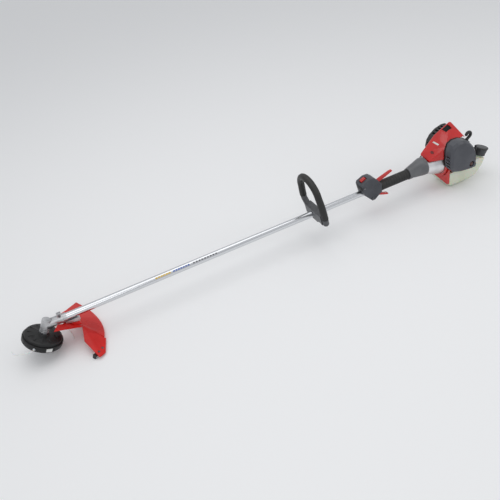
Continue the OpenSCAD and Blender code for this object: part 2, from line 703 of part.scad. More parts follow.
module throttle_lever() color("gold") on_ground() difference() {
    union() {
        translate([cyl_x, -56, 74.3]) cylinder(h = 3, r = 7);
        translate([cyl_x - 18, -59, 74.3]) cube([18, 6, 2.5]);
    }
    translate([cyl_x, -56, 74]) cylinder(h = 1.3, r = 3);
}

module filter_element() color([0.2, 0.2, 0.2]) on_ground()
    translate([cyl_x - 36, -83.7, 9]) cube([60, 9.4, 57]);

cover_profile = [[1546, 26], [1549, 6], [1562, -9], [1597, -20], [1652, -27], [1668, -22], [1669, 10],
    [1663, 44], [1648, 72], [1626, 98], [1600, 110], [1572, 112], [1553, 103], [1545, 78]];
cover_inner = [[1549, 26], [1552, 8], [1564, -6], [1598, -17], [1652, -24], [1665, -19.5], [1666, 10],
    [1660, 43], [1645, 70], [1624, 95.5], [1599, 107], [1573, 109], [1555.5, 101], [1548, 77]];
cover_mid = [1610, 40];         // the outer face tapers towards this point
cover_back = -57;               // the cover's open side
module filter_cover() color([0.3, 0.31, 0.34]) on_ground() difference() {
    union() {
        side_plate(cover_profile, -86, cover_back);
        translate([cover_mid.x, -86, cover_mid.y]) rotate([90, 0, 0]) linear_extrude(8, scale = 0.88)
            polygon([for (p = cover_profile) p - cover_mid]);
    }
    side_plate(cover_inner, -84, cover_back + 1);
    translate([1644, 0, -2]) rod_y(-100, -80, 11.4);
    translate([1650, -80, 44]) cube([24, 12, 12]);
    for (k = [0:3]) translate([1542, -84, 12 + 13 * k]) cube([10, 22, 5]);
}

module primer_bulb() color([0.75, 0.2, 0.15]) on_ground() translate([1644, 0, -2]) {
    rod_y(-86, -76, 9);
    translate([0, -86, 0]) sphere(r = 9);
}

module choke_lever() color([0.15, 0.15, 0.15]) on_ground() {
    translate([1651.5, -74, 50]) rod_x(0, 11.5, 4);
    translate([1661, -77, 48]) cube([14, 6, 4]);
    translate([1673, -78, 42]) cube([4, 8, 16]);
}

module fuel_lines() color([0.8, 0.75, 0.55]) on_ground() {
    swept_tube([[1640, -50, -71], [1640, -50, -60], [1640, -50, -30], [1640, -51, -22], [1640, -55, -15],
        [1640, -61, -10], [1640, -65, -6], [1640, -66, -2.3]], 2, 8);
    translate([1640, -50, -84]) cylinder(h = 14, r = 5);
}

// ---- shroud, muffler, tank and starter ----

shroud_outer = [[1506, -18, 30], [1506, 24, 42], [1560, -44, 38], [1560, 42, 34],
    [1562, -42, 76], [1578, 38, 88], [1643, -38, 87], [1640, 34, 120], [1643, 42, 60], [1643, -44, 48]];
module shroud_form(r, shift = 0) hull() for (p = shroud_outer)
    translate(p + [shift, 0, -shift]) sphere(r = r, $fn = 28);

module engine_shroud() color("red") on_ground() difference() {
    union() {
        shroud_form(8);
        rod_x(1554, 1588, 57);
    }
    shroud_form(5.4);
    shroud_form(5.4, 3);
    translate([1550, -46, 10]) cube([97, 90, 40]);
    translate([1596, -54, 30]) cube([60, 106, 40]);
    rod_x(1557, 1600, 54);
    translate([1480, 0, 0]) rotate([0, 90, 0]) cylinder(h = 80, r1 = 26.5, r2 = 49);
    translate([1638, 0, 26]) rod_y(-70, -37, 76);
    translate([1470, -60, -60]) cube([84, 120, 92]);
    translate([1589, -70, -60]) cube([80, 140, 104]);
    translate([1572, -60, 30]) cube([80, 20, 44]);
    translate([1585, 36, 30]) cube([80, 40, 52]);
    translate([1602, 8, 96]) cube([27, 26, 50]);
    swept_tube([for (k = [8:12]) cable_route[k]], cable_r + 0.4, 10);
}

muffler_profile = [[1594, 18], [1592, 46], [1604, 63], [1624, 75], [1648, 80], [1654, 70], [1654, 20]];
module muffler() color("darkgray") on_ground() difference() {
    union() {
        side_plate(muffler_profile, 61.5, 86);
        side_plate([[1591, 15], [1589, 47], [1602, 65], [1623, 78], [1649, 83], [1657, 71], [1657, 17]], 70, 73);
        translate([cyl_x - 12, 44, 42]) cube([24, 18, 22]);
        translate([cyl_x + 22, 74, 30]) rod_x(0, 18, 6);
    }
    side_plate([[1597, 21], [1595, 45], [1606, 61], [1625, 72], [1646, 77], [1651, 69], [1651, 23]], 64, 83.5);
    translate([cyl_x, 0, 53]) rod_y(43, 66, 7);
    translate([cyl_x + 22, 74, 30]) rod_x(-5, 19, 4.5);
}

guard_profile = [[1580, -4], [1574, 26], [1579, 50], [1592, 69], [1618, 86], [1650, 94], [1669, 92],
    [1676, 60], [1674, 12], [1662, 0]];
module muffler_guard() color([0.1, 0.1, 0.1]) on_ground() difference() {
    union() {
        side_plate(guard_profile, 58, 94);
        translate([0, 94, 0]) side_plate([[1588, 8], [1584, 30], [1590, 50], [1604, 66], [1624, 76], [1650, 82],
            [1662, 78], [1664, 20], [1656, 10]], 0, 4);
    }
    translate([1620, 0, 48]) rod_y(57, 63, 28);
    side_plate([[1585, 1], [1579, 26], [1584, 48], [1595, 65], [1620, 81], [1650, 89], [1665, 87],
        [1671, 59], [1669, 14], [1659, 5]], 61, 91);
    for (k = [0:4]) translate([1596, 85, 14 + 10 * k]) cube([58, 20, 4]);
    for (k = [0:3]) translate([1566, 64, 4 + 12 * k]) cube([26, 22, 5]);
    for (k = [0:4]) translate([1600 + 13 * k, 64, 70]) cube([6, 22, 30]);
    translate([1656, 66, 20]) cube([30, 16, 20]);
}

// The tank's outer form, or its inner space when t is the wall.
tank_front = 1568;
tank_corner = 34;               // radius of the tank's long lower edges
module tank_form(t) difference() {
    intersection() {
        translate([tank_front + t, -4, -axis_height]) rotate([90, 0, 90]) linear_extrude(172 - 2 * t) union() {
            for (s = [-1, 1]) translate([s * (58 - tank_corner), tank_corner]) circle(r = tank_corner - t);
            translate([tank_corner - 58, t]) square([116 - 2 * tank_corner, tank_corner]);
            translate([t - 58, tank_corner]) square([116 - 2 * t, 90]);
        }
        side_plate([[tank_front + t, -8 - t], [tank_front + t, -78], [tank_front + 24, -axis_height - 1 + t],
            [1650, -axis_height - 1 + t], [1674 - t, -97 + t], [1700 - t, -77], [1723 - t, -50],
            [1736 - t, -24 - t], [1706, -16 - t]], -70, 70);
    }
    rod_x(1500, 1701 + t, 59 + t);
    translate([1540, -14 - t, -60 - t]) cube([170 + t, 90, 70]);
    translate([1540, -70, -30 - t]) cube([146 + t, 21 + t, 50]);
}
module fuel_tank() color([0.85, 0.87, 0.78]) difference() {
    union() {
        on_ground() tank_form(0);
        on_cap() translate([0, 0, -20]) cylinder(h = 28, r = 17);
    }
    on_ground() tank_form(2.5);
    on_cap() translate([0, 0, -24]) cylinder(h = 40, r = 14.5);
    on_ground() translate([1640, -51, -60]) cylinder(h = 46, r = 3.6);
}

// The plate that closes the engine's underside in front of the tank.
module tank_foot() color("red") on_ground() difference() {
    translate([1561, 0, 0]) rotate([90, 0, 90]) linear_extrude(6.8)
        polygon([[-62, -12], [-62, -74], [-54, -78], [26, -66], [54, -56], [54, -30], [-40, -12]]);
    rod_x(1550, 1600, 58);
}

module starter_housing() color([0.3, 0.31, 0.34]) on_ground() difference() {
    union() {
        rod_x(1652, 1684, 56);
        translate([1684, 0, 0]) rotate([0, 90, 0]) cylinder(h = 9, r1 = 55.9, r2 = 47);
        translate([1669, handle_y - 8, 44]) cube([16, 16, 9.6]);
    }
    rod_x(1651, 1684.5, 53);
    rod_x(1684, 1690, 46);
    rod_x(1685, 1700, 3);
    for (k = [0:11]) rotate([30 * k + 15, 0, 0]) translate([1684, -2.5, 18]) cube([12, 5, 24]);
    translate([1677, handle_y, 30]) cylinder(h = 30, r = 3.2);
}

module starter_pulley() color([0.16, 0.16, 0.17]) on_ground() difference() {
    union() {
        rod_x(1671, 1673, 27);
        rod_x(1673, 1681, -handle_y - 2);
        rod_x(1681, 1683, 27);
    }
    rod_x(1670, 1684, 4.4 + 2.2);
}

module starter_rope() color("ghostwhite") on_ground()
    translate([1677, handle_y, 3]) cylinder(h = 54.5, r = 1.8, $fn = 16);

// The starter's grip: a stem that curls over into an open hook.
hook_mid = [7, 80];
hook_r = 10.5;
hook_foot = hook_mid + hook_r * [cos(60), -sin(60)];
module starter_handle() color([0.09, 0.09, 0.09]) on_ground() translate([1677, handle_y, 0]) difference() {
    union() {
        translate([0, 0, 54.4]) cylinder(h = 9, r1 = 7.4, r2 = 6.6);
        translate([0, 0, 62]) rotate([0, atan2(hook_foot.x, hook_foot.y - 62), 0])
            cylinder(h = norm(hook_foot - [0, 62]), r = 5.7);
        translate([0, 0, 62]) sphere(r = 6.4);
        translate([hook_foot.x, 0, hook_foot.y]) sphere(r = 6.1);
        translate([hook_mid.x, 0, hook_mid.y]) rotate([90, 0, 0]) rotate(-60)
            rotate_extrude(angle = 220) translate([hook_r, 0]) circle(r = 5.9);
        translate([hook_mid.x - hook_r * cos(20), 0, hook_mid.y + hook_r * sin(20)]) sphere(r = 6);
    }
    translate([0, 0, 54]) cylinder(h = 3.5, r = 1.8, $fn = 16);
}

module cap_seal() color([0.1, 0.1, 0.1]) on_cap() translate([0, 0, 8.3]) difference() {
    cylinder(h = 2, r = 17);
    translate([0, 0, -e]) cylinder(h = 3, r = 12);
}

module fuel_cap() color([0.22, 0.22, 0.24]) on_cap() {
    difference() {
        union() {
            translate([0, 0, 1]) cylinder(h = 10, r = 21);
            translate([0, 0, 10.6]) cylinder(h = 18, r1 = 21.5, r2 = 25);
            translate([0, 0, 28.5]) cylinder(h = 4, r1 = 25, r2 = 21);
        }
        cylinder(h = 10.6, r = 17.5);
        for (k = [0:11]) rotate(30 * k) translate([26.8, 0, 8]) cylinder(h = 30, r = 3.4);
    }
}

// The starter's recoil spring, drawn as flat rings, and the levers' springs.
module return_springs() color("slategray") on_ground() {
    translate([1686, 0, 0]) rotate([0, 90, 0]) linear_extrude(3) for (k = [0:5]) difference() {
        circle(r = 14 + 3.2 * k);
        circle(r = 13.1 + 3.2 * k);
    }
    for (p = [trigger_pivot, lockout_pivot]) translate([p.x, 6.1, p.y]) rotate([-90, 0, 0])
        coil(3.2, 0.35, 0.9, 2, 12);
}

// Root fasteners: levers' pins, housing screws, gear clamp, shield and cutter screws.
module screws() color("dimgray") {
    on_ground() {
        for (p = [trigger_pivot, lockout_pivot]) translate([p.x, 0, p.y]) rod_y(-20, 20, 2);
        for (p = [[1206, 30], [1242, -27]]) translate([p.x, 0, p.y]) {
            rod_y(-22, 20, 2);
            translate([0, -22, 0]) rotate([90, 0, 0]) screw(1, 2, 3.6);
        }
        translate([50, 0, 18.7]) {
            rod_y(-7, 7, 2.5);
            translate([0, -7, 0]) rotate([90, 0, 0]) screw(1, 2.5, 4.5);
        }
    }
    on_head() {
        for (p = bracket_bolts) translate([p.x, p.y, 3.5]) rotate([180, 0, 0]) screw(23.5, 2.2, 4.2);
        for (p = cutter_bolts) translate(p) screw(12.6, 2.2, 3.6);
    }
}

drive_tube();
tube_bushings();
gear_housing();
gear_cap();
bearings();
shield();
shield_bracket();
line_cutter();
throttle_housing_left();
throttle_housing_right();
return_springs();
rear_grip();
throttle_cable();
coupling_cone();
clutch_housing();
crankcase();
engine_cylinder();
piston_and_rod();
spark_plug();
ignition_coil();
engine_shroud();
muffler();
muffler_guard();
fuel_tank();
tank_foot();
fuel_lines();
carburettor();
filter_element();
filter_cover();
starter_housing();
screws();
loop_frame();
loop_grip();
loop_screws();
drive_shaft();
pinion();
clutch_drum();
driven_gear();
output_shaft();
head_housing();
head_cover();
trimmer_lines();
spool();
bump_knob();
head_spring();
crankshaft();
flywheel();
clutch_shoe_a();
clutch_shoe_b();
starter_pulley();
starter_rope();
starter_handle();
trigger();
lockout_lever();
stop_switch();
choke_lever();
throttle_lever();
primer_bulb();
cap_seal();
fuel_cap();
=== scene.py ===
import json
from math import pi, radians

import bmesh
import bpy
from mathutils import Matrix, Vector

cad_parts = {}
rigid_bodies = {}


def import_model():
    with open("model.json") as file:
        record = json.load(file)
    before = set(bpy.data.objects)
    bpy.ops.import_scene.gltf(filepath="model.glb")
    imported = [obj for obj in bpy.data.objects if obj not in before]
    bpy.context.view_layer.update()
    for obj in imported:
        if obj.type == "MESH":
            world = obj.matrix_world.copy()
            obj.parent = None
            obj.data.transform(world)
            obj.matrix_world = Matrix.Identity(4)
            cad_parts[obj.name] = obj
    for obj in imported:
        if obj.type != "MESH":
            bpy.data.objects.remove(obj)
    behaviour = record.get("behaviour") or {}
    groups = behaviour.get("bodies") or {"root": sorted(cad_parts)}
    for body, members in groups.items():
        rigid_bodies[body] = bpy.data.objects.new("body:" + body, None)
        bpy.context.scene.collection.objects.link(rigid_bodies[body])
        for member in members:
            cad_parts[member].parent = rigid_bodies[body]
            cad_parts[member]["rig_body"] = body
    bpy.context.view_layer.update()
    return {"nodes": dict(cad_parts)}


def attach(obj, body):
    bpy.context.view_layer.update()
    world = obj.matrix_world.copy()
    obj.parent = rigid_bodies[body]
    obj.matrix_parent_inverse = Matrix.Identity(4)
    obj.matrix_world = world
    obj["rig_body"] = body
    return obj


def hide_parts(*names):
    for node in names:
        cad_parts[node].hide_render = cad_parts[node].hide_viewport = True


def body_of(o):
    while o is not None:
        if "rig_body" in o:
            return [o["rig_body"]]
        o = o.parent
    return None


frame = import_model()

# ---- studio floor ----
# A wide flat sheet of matt white paper that the machine lies on.
# It is lit by large soft panels and takes their soft shadows.
floor_half_width = 12
paper_white = (0.93, 0.93, 0.93, 1)
floor_mesh = bpy.data.meshes.new("studio_floor")
floor_form = bmesh.new()
bmesh.ops.create_grid(floor_form, x_segments=1, y_segments=1, size=floor_half_width)
floor_form.to_mesh(floor_mesh)
floor_form.free()
floor = bpy.data.objects.new("studio_floor", floor_mesh)
bpy.context.collection.objects.link(floor)
paper = bpy.data.materials.new("studio_paper")
paper.use_nodes = True
paper_shader = paper.node_tree.nodes["Principled BSDF"]
paper_shader.inputs["Base Color"].default_value = paper_white
paper_shader.inputs["Roughness"].default_value = 0.9
floor_mesh.materials.append(paper)

# ---- camera and lights ----
# The view is from the operator's left, above the line head, with the engine far to the right.
# Three soft panels and a pale surround give the even light of a product stand.
camera_data = bpy.data.cameras.new("stand_camera")
camera_data.sensor_width = 36
camera_data.lens = 43.2
camera_data.clip_end = 40
camera = bpy.data.objects.new("stand_camera", camera_data)
bpy.context.collection.objects.link(camera)
view_right = Vector((0.8881, -0.4338, -0.1522))
view_up = Vector((0.3748, 0.4913, 0.7862))
view_back = Vector((-0.2663, -0.7553, 0.5989))
view_place = Vector((-1.490, -1.616, 1.345))
camera.matrix_world = Matrix(
    [*zip(view_right, view_up, view_back, view_place), (0, 0, 0, 1)])
bpy.context.scene.camera = camera

surround = bpy.data.worlds.new("pale_surround")
surround.use_nodes = True
sky = surround.node_tree.nodes["Background"]
sky.inputs["Color"].default_value = (0.95, 0.97, 1.0, 1)
sky.inputs["Strength"].default_value = 0.62
bpy.context.scene.world = surround
bpy.context.scene.view_settings.view_transform = "Standard"


def soft_panel(name, place, target, size, power):
    """A square light panel that faces a target."""
    lamp = bpy.data.lights.new(name, "AREA")
    lamp.size = size
    lamp.energy = power
    stand = bpy.data.objects.new(name, lamp)
    bpy.context.collection.objects.link(stand)
    stand.location = place
    stand.rotation_euler = (Vector(target) - Vector(place)).to_track_quat("-Z", "Y").to_euler()


tube_middle = (-0.8, 0, 0.1)
engine_front = (-0.2, 0, 0.1)
soft_panel("panel_overhead", (-0.9, 0.2, 2.6), tube_middle, 2.4, 17)
soft_panel("panel_operator_side", (-1.9, -2.4, 1.9), tube_middle, 1.6, 9)
soft_panel("panel_engine_end", (1.6, -1.5, 1.3), engine_front, 1.2, 6)


# ---- trimmer lines ----
# Two cut lengths of round nylon monofilament, 2.4 mm thick, pushed out through the eyelets.
# They keep a set from the spool, so each bends back along the head's turning direction.
gears_to_origin = 1650
axis_height = 106
head_tilt = 30


def at(x, y, z):
    """A point measured in millimetres from the gears' crossing, x towards the engine."""
    return Vector(((x - gears_to_origin) / 1000, y / 1000, (z + axis_height) / 1000))


head_frame = Matrix.Translation(at(0, 0, 0)) @ Matrix.Rotation(radians(head_tilt), 4, "Y")


def at_head(x, y, z):
    """A point measured in millimetres in the head's own frame, z along its axis."""
    return head_frame @ Vector((x / 1000, y / 1000, z / 1000))


def effect_group(name, inputs, outputs):
    """An empty shader effect with named inputs and outputs, and its end nodes."""
    group = bpy.data.node_groups.new(name, "ShaderNodeTree")
    for label, kind, value in inputs:
        socket = group.interface.new_socket(name=label, in_out="INPUT", socket_type=kind)
        if value is not None:
            socket.default_value = value
    for label in outputs:
        group.interface.new_socket(name=label, in_out="OUTPUT", socket_type="NodeSocketFloat")
    return group, group.nodes.new("NodeGroupInput"), group.nodes.new("NodeGroupOutput")


# Grain of a moulded, cast or drawn surface: a fine height and a broad change of shade.
surface_grain, grain_in, grain_out = effect_group(
    "surface_grain",
    [("Vector", "NodeSocketVector", None), ("Fine", "NodeSocketFloat", 900.0),
     ("Broad", "NodeSocketFloat", 18.0)],
    ["Height", "Shade"])
fine_noise = surface_grain.nodes.new("ShaderNodeTexNoise")
fine_noise.inputs["Detail"].default_value = 3
broad_noise = surface_grain.nodes.new("ShaderNodeTexNoise")
broad_noise.inputs["Detail"].default_value = 4
for noise, scale in ((fine_noise, "Fine"), (broad_noise, "Broad")):
    surface_grain.links.new(grain_in.outputs["Vector"], noise.inputs["Vector"])
    surface_grain.links.new(grain_in.outputs[scale], noise.inputs["Scale"])
shade_spread = surface_grain.nodes.new("ShaderNodeMapRange")
shade_spread.inputs["From Min"].default_value = 0.32
shade_spread.inputs["From Max"].default_value = 0.68
surface_grain.links.new(broad_noise.outputs["Fac"], shade_spread.inputs["Value"])
surface_grain.links.new(shade_spread.outputs["Result"], grain_out.inputs["Shade"])
surface_grain.links.new(fine_noise.outputs["Fac"], grain_out.inputs["Height"])

# Wear and painted highlight along outward corners, broken up by a patchy noise: the lighter edge
# colour stands partly for rubbing, partly for light caught on the rounded edges.
worn_highlit_edges, worn_highlit_in, worn_highlit_out = effect_group(
    "worn_highlit_edges",
    [("Vector", "NodeSocketVector", None), ("Patches", "NodeSocketFloat", 120.0),
     ("Amount", "NodeSocketFloat", 0.5)],
    ["Mask"])
corner = worn_highlit_edges.nodes.new("ShaderNodeNewGeometry")
corner_ramp = worn_highlit_edges.nodes.new("ShaderNodeMapRange")
corner_ramp.inputs["From Min"].default_value = 0.53
corner_ramp.inputs["From Max"].default_value = 0.62
patch_noise = worn_highlit_edges.nodes.new("ShaderNodeTexNoise")
patch_noise.inputs["Detail"].default_value = 5
patch_times = worn_highlit_edges.nodes.new("ShaderNodeMath")
patch_times.operation = "MULTIPLY"
amount_times = worn_highlit_edges.nodes.new("ShaderNodeMath")
amount_times.operation = "MULTIPLY"
worn_highlit_edges.links.new(corner.outputs["Pointiness"], corner_ramp.inputs["Value"])
worn_highlit_edges.links.new(worn_highlit_in.outputs["Vector"], patch_noise.inputs["Vector"])
worn_highlit_edges.links.new(worn_highlit_in.outputs["Patches"], patch_noise.inputs["Scale"])
worn_highlit_edges.links.new(corner_ramp.outputs["Result"], patch_times.inputs[0])
worn_highlit_edges.links.new(patch_noise.outputs["Fac"], patch_times.inputs[1])
worn_highlit_edges.links.new(patch_times.outputs[0], amount_times.inputs[0])
worn_highlit_edges.links.new(worn_highlit_in.outputs["Amount"], amount_times.inputs[1])
worn_highlit_edges.links.new(amount_times.outputs[0], worn_highlit_out.inputs["Mask"])

# Light dust that settles on faces turned up.
settled_dust, dust_in, dust_out = effect_group(
    "settled_dust",
    [("Vector", "NodeSocketVector", None), ("Amount", "NodeSocketFloat", 0.1)],
    ["Mask"])
dust_facing = settled_dust.nodes.new("ShaderNodeNewGeometry")
dust_split = settled_dust.nodes.new("ShaderNodeSeparateXYZ")
dust_noise = settled_dust.nodes.new("ShaderNodeTexNoise")
dust_noise.inputs["Scale"].default_value = 60
dust_noise.inputs["Detail"].default_value = 6
dust_up = settled_dust.nodes.new("ShaderNodeMath")
dust_up.operation = "MULTIPLY"
dust_up.use_clamp = True
dust_much = settled_dust.nodes.new("ShaderNodeMath")
dust_much.operation = "MULTIPLY"
settled_dust.links.new(dust_facing.outputs["Normal"], dust_split.inputs["Vector"])
settled_dust.links.new(dust_in.outputs["Vector"], dust_noise.inputs["Vector"])
settled_dust.links.new(dust_split.outputs["Z"], dust_up.inputs[0])
settled_dust.links.new(dust_noise.outputs["Fac"], dust_up.inputs[1])
settled_dust.links.new(dust_up.outputs[0], dust_much.inputs[0])
settled_dust.links.new(dust_in.outputs["Amount"], dust_much.inputs[1])
settled_dust.links.new(dust_much.outputs[0], dust_out.inputs["Mask"])

dust_colour = (0.42, 0.4, 0.37)
relief_height = 0.0005
smoother = 0.85
rougher = 1.18


def finish(name, dark, light, rough, metal=0.0, fine=900, broad=18, bump=0.05, wear_and_highlight=0.4,
           wear_and_highlight_colour=None, dust=0.08, stretch=(1, 1, 1), **plain):
    """A material whose colour, roughness and relief follow its grain, edge wear with a painted edge
    highlight, and dust.
    """
    material = bpy.data.materials.new(name)
    material.use_nodes = True
    tree = material.node_tree
    shader = tree.nodes["Principled BSDF"]
    place = tree.nodes.new("ShaderNodeTexCoord")
    spread = tree.nodes.new("ShaderNodeMapping")
    spread.inputs["Scale"].default_value = stretch
    tree.links.new(place.outputs["Object"], spread.inputs["Vector"])
    grain = tree.nodes.new("ShaderNodeGroup")
    grain.node_tree = surface_grain
    grain.inputs["Fine"].default_value = fine
    grain.inputs["Broad"].default_value = broad
    wear_and_highlight_node = tree.nodes.new("ShaderNodeGroup")
    wear_and_highlight_node.node_tree = worn_highlit_edges
    wear_and_highlight_node.inputs["Amount"].default_value = wear_and_highlight
    haze = tree.nodes.new("ShaderNodeGroup")
    haze.node_tree = settled_dust
    haze.inputs["Amount"].default_value = dust
    tree.links.new(spread.outputs["Vector"], grain.inputs["Vector"])
    tree.links.new(place.outputs["Object"], wear_and_highlight_node.inputs["Vector"])
    tree.links.new(place.outputs["Object"], haze.inputs["Vector"])
    colour = None
    # The second layer lays the lighter edge colour on outward corners: partly wear, partly a painted
    # highlight.
    layers = [(grain.outputs["Shade"], light), (wear_and_highlight_node.outputs["Mask"], wear_and_highlight_colour or light),
              (haze.outputs["Mask"], dust_colour)]
    for mask, over in layers:
        mix = tree.nodes.new("ShaderNodeMix")
        mix.data_type = "RGBA"
        tree.links.new(mask, mix.inputs["Factor"])
        if colour is None:
            mix.inputs["A"].default_value = (*dark, 1)
        else:
            tree.links.new(colour, mix.inputs["A"])
        mix.inputs["B"].default_value = (*over, 1)
        colour = mix.outputs["Result"]
    tree.links.new(colour, shader.inputs["Base Color"])
    sheen_range = tree.nodes.new("ShaderNodeMapRange")
    sheen_range.inputs["To Min"].default_value = rough * smoother
    sheen_range.inputs["To Max"].default_value = min(1.0, rough * rougher)
    tree.links.new(grain.outputs["Shade"], sheen_range.inputs["Value"])
    tree.links.new(sheen_range.outputs["Result"], shader.inputs["Roughness"])
    relief = tree.nodes.new("ShaderNodeBump")
    relief.inputs["Strength"].default_value = bump
    relief.inputs["Distance"].default_value = relief_height
    tree.links.new(grain.outputs["Height"], relief.inputs["Height"])
    tree.links.new(relief.outputs["Normal"], shader.inputs["Normal"])
    shader.inputs["Metallic"].default_value = metal
    for setting, value in plain.items():
        label = setting.replace("_", " ").title().replace("Ior", "IOR")
        shader.inputs[label].default_value = value
    return material


nylon = finish("nylon_monofilament", (0.70, 0.73, 0.69), (0.82, 0.84, 0.80), 0.32, fine=500,
               broad=60, bump=0.02, wear_and_highlight=0.0, dust=0.02, subsurface_weight=0.3)
line_diameter = 0.0024


def line_piece(name, route):
    """One cut line as a smooth curve through its route."""
    curve = bpy.data.curves.new(name, "CURVE")
    curve.dimensions = "3D"
    spline = curve.splines.new("BEZIER")
    spline.bezier_points.add(len(route) - 1)
    for point, place in zip(spline.bezier_points, route):
        point.co = at_head(*place)
        point.handle_left_type = point.handle_right_type = "AUTO"
    curve.resolution_u = 10
    curve.bevel_depth = line_diameter / 2
    curve.bevel_resolution = 4
    curve.use_fill_caps = True
    curve.materials.append(nylon)
    piece = bpy.data.objects.new(name, curve)
    bpy.context.collection.objects.link(piece)
    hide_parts("trimmer_lines")
    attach(piece, "line_head")


line_piece("trimmer_line_long", [
    (30, 49, -54), (37, 58, -54), (48, 66, -54.4), (62, 71, -55), (77, 70, -55.6),
    (90, 63, -56), (98, 50, -56.4), (102, 34, -56.8), (104, 18, -57), (104, 2, -56.6)])
line_piece("trimmer_line_short", [
    (-30, -49, -54), (-36, -57, -54), (-43, -65, -54.4), (-53, -71, -55), (-66, -75, -55.6),
    (-80, -78, -56), (-91, -78, -56.4), (-98, -74, -56.8), (-101, -67, -57),
    (-101, -61, -56.6)])

# ---- drive tube ----
# The long drawn aluminium tube that holds the shaft, polished with marks along its length.
# Rubber bushings inside hold the shaft; its ends are clamped in the gearbox and the clutch.
polished_tube = finish("polished_tube", (0.60, 0.61, 0.63), (0.80, 0.81, 0.83), 0.20, metal=1.0,
                       fine=260, broad=9, bump=0.03, wear_and_highlight=0.2, dust=0.02, stretch=(0.05, 1, 1))

merge_reach = 0.00001
flat_angle = 1.5


def rounded(node, material, corner=0.0005, sharp=38):
    """A merged copy of a CAD node with rounded corners, standing for the node."""
    source = frame["nodes"][node]
    body = body_of(source)[0]
    piece_name = node + "_piece"
    mesh = source.data.copy()
    mesh.name = piece_name
    form = bmesh.new()
    form.from_mesh(mesh)
    bmesh.ops.remove_doubles(form, verts=form.verts, dist=merge_reach)
    bmesh.ops.dissolve_degenerate(form, edges=form.edges, dist=merge_reach)
    bmesh.ops.dissolve_limit(form, angle_limit=radians(flat_angle), verts=form.verts,
                             edges=form.edges)
    form.to_mesh(mesh)
    form.free()
    mesh.materials.clear()
    mesh.materials.append(material)
    for polygon in mesh.polygons:
        polygon.use_smooth = True
        polygon.material_index = 0
    mesh.set_sharp_from_angle(angle=radians(sharp))
    piece = bpy.data.objects.new(piece_name, mesh)
    bpy.context.collection.objects.link(piece)
    if corner:
        bevel = piece.modifiers.new("corner", "BEVEL")
        bevel.width = corner
        bevel.segments = 2
        bevel.limit_method = "ANGLE"
        bevel.angle_limit = radians(sharp)
        bevel.harden_normals = True
    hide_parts(node)
    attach(piece, body)
    return piece


def coated(material, *nodes):
    """CAD nodes that keep their own mesh and take a material."""
    for node in nodes:
        mesh = frame["nodes"][node].data
        if not mesh.materials:
            mesh.materials.append(None)
        for index in range(len(mesh.materials)):
            mesh.materials[index] = material


rounded("drive_tube", polished_tube, corner=0.0003)

sharpest_smooth = 35


def shown(name, form, material, body):
    """Turns a finished bmesh into a shown piece that rides on a body."""
    mesh = bpy.data.meshes.new(name)
    form.to_mesh(mesh)
    form.free()
    mesh.materials.append(material)
    for polygon in mesh.polygons:
        polygon.use_smooth = True
    mesh.set_sharp_from_angle(angle=radians(sharpest_smooth))
    piece = bpy.data.objects.new(name, mesh)
    bpy.context.collection.objects.link(piece)
    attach(piece, body)
    return piece


ink_thickness = 0.0002
patch_steps = 8


def wrapped_patch(name, radius, spans, start, sweep, place, material, body):
    """Thin patches wrapped on a round part: arcs about Z between pairs of heights, in mm."""
    form = bmesh.new()
    for low, high in spans:
        ends = [form.verts.new((radius / 1000, 0, z / 1000)) for z in (low, high)]
        bmesh.ops.spin(form, geom=ends + [form.edges.new(ends)], cent=(0, 0, 0),
                       axis=(0, 0, 1), angle=radians(sweep), steps=patch_steps)
    bmesh.ops.transform(form, matrix=place @ Matrix.Rotation(radians(start), 4, "Z"),
                        verts=form.verts)
    bmesh.ops.recalc_face_normals(form, faces=form.faces)
    bmesh.ops.solidify(form, geom=form.faces[:], thickness=-ink_thickness)
    bmesh.ops.recalc_face_normals(form, faces=form.faces)
    return shown(name, form, material, body)


# Plain bars of colour stand where such a tube carries printed marks.
ink_radius = 12.02
ink_start = 212
ink_sweep = 24
tube_place = Matrix.Translation(at(0, 0, 0)) @ Matrix.Rotation(radians(90), 4, "Y")
for bars, (colour, first, count, pitch, width) in {
        "tube_bars_yellow": ((0.62, 0.40, 0.02), 378, 6, 9.5, 7.5),
        "tube_bars_blue": ((0.03, 0.09, 0.36), 442, 7, 9.0, 6.5),
        "tube_bars_grey": ((0.09, 0.09, 0.10), 516, 9, 10.5, 6.0)}.items():
    ink = finish(bars + "_ink", colour, [min(1, c * 1.3) for c in colour], 0.4, wear_and_highlight=0.1)
    spans = [(first + pitch * k, first + pitch * k + width) for k in range(count)]
    wrapped_patch(bars, ink_radius, spans, ink_start, ink_sweep, tube_place, ink,
                  "root")

bushing_rubber = finish("bushing_rubber", (0.02, 0.02, 0.02), (0.035, 0.035, 0.034), 0.6)
coated(bushing_rubber, "tube_bushings")

# ---- drive shaft, pinion and clutch drum ----
# A straight steel shaft turns inside the tube. It carries the bevel pinion at its low end and
# the clutch drum at its upper end, and is ground bright where the bushings run.
bright_steel = finish("bright_steel", (0.42, 0.43, 0.45), (0.60, 0.61, 0.63), 0.26, metal=1.0,
                      fine=700, broad=40, bump=0.03, wear_and_highlight=0.3, dust=0.02)
dark_steel = finish("oiled_dark_steel", (0.16, 0.16, 0.17), (0.28, 0.28, 0.29), 0.36, metal=1.0,
                    fine=800, broad=45, bump=0.05, wear_and_highlight=0.4, wear_and_highlight_colour=(0.5, 0.5, 0.5), dust=0.03)
coated(bright_steel, "drive_shaft", "pinion", "driven_gear", "bearings")
coated(dark_steel, "clutch_drum")

